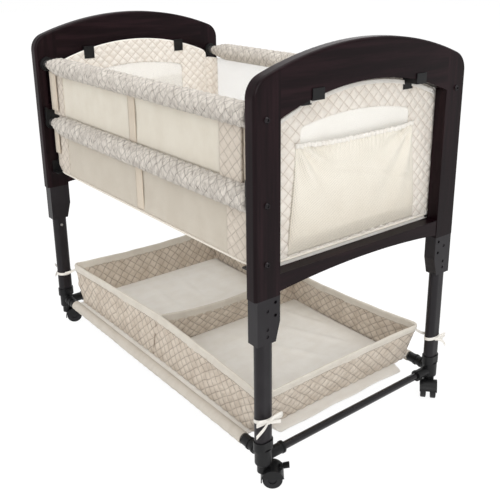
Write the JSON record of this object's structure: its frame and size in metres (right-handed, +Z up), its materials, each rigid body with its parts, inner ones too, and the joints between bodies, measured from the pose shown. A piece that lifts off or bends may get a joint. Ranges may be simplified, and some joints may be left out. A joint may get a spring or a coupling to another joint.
{
  "type": "bedside sleeper crib",
  "caption": "Small rectangular crib with arched end panels, padded side rails, a drop-down front rail, fabric nest, under-bed storage basket, height-adjustable legs and swivel casters.",
  "frame": {"origin": "on the floor, under the middle of the crib", "axes": "+X towards the foot panel, -Y towards the side with the two front rails, +Z up"},
  "size_m": [1.031, 0.593, 0.902],
  "materials": {
    "espresso_wood": "dark espresso stain under satin lacquer",
    "charcoal_metal": "charcoal powder coat",
    "black_metal": "black gloss paint",
    "steel": "plain zinc",
    "black_plastic": "moulded black",
    "caster_tread": "dark grey tread",
    "quilted_fabric": "diamond quilted cotton, light greige",
    "plain_fabric": "plain cream cotton",
    "mesh_fabric": "fine white mesh",
    "covered_board": "cream cloth over a stiff board"
  },
  "bodies": {
    "lower_frame": {"corner_fitting_foot_front": "black_plastic", "corner_fitting_foot_back": "black_plastic", "corner_fitting_head_front": "black_plastic", "corner_fitting_head_back": "black_plastic", "leg_tube_foot_front": "charcoal_metal", "leg_tube_foot_back": "charcoal_metal", "leg_tube_head_front": "charcoal_metal", "leg_tube_head_back": "charcoal_metal", "side_tube_front": "black_metal", "side_tube_back": "black_metal", "end_tube_foot": "black_metal", "end_tube_head": "black_metal", "storage_basket": "quilted_fabric", "basket_divider": "quilted_fabric", "basket_floor_boards": "covered_board", "basket_sling": "plain_fabric", "basket_ties": "plain_fabric"},
    "upper_frame": {"foot_posts": "espresso_wood", "head_posts": "espresso_wood", "foot_arch_rail": "espresso_wood", "head_arch_rail": "espresso_wood", "foot_lower_rail": "espresso_wood", "head_lower_rail": "espresso_wood", "leg_sleeves": "charcoal_metal", "rail_bolts": "steel", "floor_brackets": "black_plastic", "mid_rail_tube": "steel", "mid_rail_pad": "quilted_fabric", "back_rail_tube": "steel", "back_rail_pad": "quilted_fabric", "rail_flanges": "black_plastic", "rail_rests": "black_plastic", "nest_front_wall": "plain_fabric", "nest_drop_wall": "plain_fabric", "nest_back_wall": "mesh_fabric", "nest_foot_wall": "quilted_fabric", "nest_head_wall": "quilted_fabric", "nest_floor": "plain_fabric", "nest_floor_tube": "steel", "nest_floor_board": "covered_board", "mattress": "plain_fabric", "mesh_pockets": "mesh_fabric", "arch_clips": "black_plastic"},
    "drop_rail": {"drop_rail_tube": "steel", "drop_rail_pad": "quilted_fabric", "drop_rail_caps": "black_plastic"},
    "caster_foot_front": {"caster_housing_foot_front": "black_plastic"},
    "wheels_foot_front": {"caster_wheels_foot_front": "caster_tread"},
    "brake_foot_front": {"brake_lever_foot_front": "black_plastic"},
    "button_foot_front": {"snap_button_foot_front": "steel"},
    "caster_foot_back": {"caster_housing_foot_back": "black_plastic"},
    "wheels_foot_back": {"caster_wheels_foot_back": "caster_tread"},
    "button_foot_back": {"snap_button_foot_back": "steel"},
    "caster_head_front": {"caster_housing_head_front": "black_plastic"},
    "wheels_head_front": {"caster_wheels_head_front": "caster_tread"},
    "button_head_front": {"snap_button_head_front": "steel"},
    "caster_head_back": {"caster_housing_head_back": "black_plastic"},
    "wheels_head_back": {"caster_wheels_head_back": "caster_tread"},
    "brake_head_back": {"brake_lever_head_back": "black_plastic"},
    "button_head_back": {"snap_button_head_back": "steel"}
  },
  "joints": [
    {"name": "height_adjust", "type": "slide", "parent": "lower_frame", "child": "upper_frame", "axis": [0, 0, 1], "range_m": [0, 0.05]},
    {"name": "rail_drop", "type": "slide", "parent": "upper_frame", "child": "drop_rail", "axis": [0, 0, -1], "range_m": [0, 0.105], "deforming": ["nest_drop_wall"]},
    {"name": "swivel_foot_front", "type": "hinge", "parent": "lower_frame", "child": "caster_foot_front", "pos_m": [0.472, -0.267, 0.067], "axis": [0, 0, 1], "continuous": true},
    {"name": "roll_foot_front", "type": "hinge", "parent": "caster_foot_front", "child": "wheels_foot_front", "pos_m": [0.4838, -0.25211, 0.021], "axis": [-0.7837, 0.6211, 0], "continuous": true},
    {"name": "brake_foot_front", "type": "hinge", "parent": "caster_foot_front", "child": "brake_foot_front", "pos_m": [0.49534, -0.23755, 0.04314], "axis": [-0.7837, 0.6211, 0], "range_deg": [0, 20]},
    {"name": "button_foot_front", "type": "slide", "parent": "lower_frame", "child": "button_foot_front", "axis": [1, 0, 0], "range_m": [0, 0.003], "stiffness_N_per_m": 400, "springref_m": -0.0005},
    {"name": "swivel_foot_back", "type": "hinge", "parent": "lower_frame", "child": "caster_foot_back", "pos_m": [0.472, 0.267, 0.067], "axis": [0, 0, 1], "continuous": true},
    {"name": "roll_foot_back", "type": "hinge", "parent": "caster_foot_back", "child": "wheels_foot_back", "pos_m": [0.48408, 0.25234, 0.021], "axis": [0.7716, 0.6361, 0], "continuous": true},
    {"name": "button_foot_back", "type": "slide", "parent": "lower_frame", "child": "button_foot_back", "axis": [1, 0, 0], "range_m": [0, 0.003], "stiffness_N_per_m": 400, "springref_m": -0.0005},
    {"name": "swivel_head_front", "type": "hinge", "parent": "lower_frame", "child": "caster_head_front", "pos_m": [-0.472, -0.267, 0.067], "axis": [0, 0, 1], "continuous": true},
    {"name": "roll_head_front", "type": "hinge", "parent": "caster_head_front", "child": "wheels_head_front", "pos_m": [-0.46391, -0.24981, 0.021], "axis": [-0.9048, 0.4258, 0], "continuous": true},
    {"name": "button_head_front", "type": "slide", "parent": "lower_frame", "child": "button_head_front", "axis": [-1, 0, 0], "range_m": [0, 0.003], "stiffness_N_per_m": 400, "springref_m": -0.0005},
    {"name": "swivel_head_back", "type": "hinge", "parent": "lower_frame", "child": "caster_head_back", "pos_m": [-0.472, 0.267, 0.067], "axis": [0, 0, 1], "continuous": true},
    {"name": "roll_head_back", "type": "hinge", "parent": "caster_head_back", "child": "wheels_head_back", "pos_m": [-0.48408, 0.25234, 0.021], "axis": [0.7716, -0.6361, 0], "continuous": true},
    {"name": "brake_head_back", "type": "hinge", "parent": "caster_head_back", "child": "brake_head_back", "pos_m": [-0.4959, 0.238, 0.04314], "axis": [0.7716, -0.6361, 0], "range_deg": [0, 20]},
    {"name": "button_head_back", "type": "slide", "parent": "lower_frame", "child": "button_head_back", "axis": [-1, 0, 0], "range_m": [0, 0.003], "stiffness_N_per_m": 400, "springref_m": -0.0005}
  ]
}
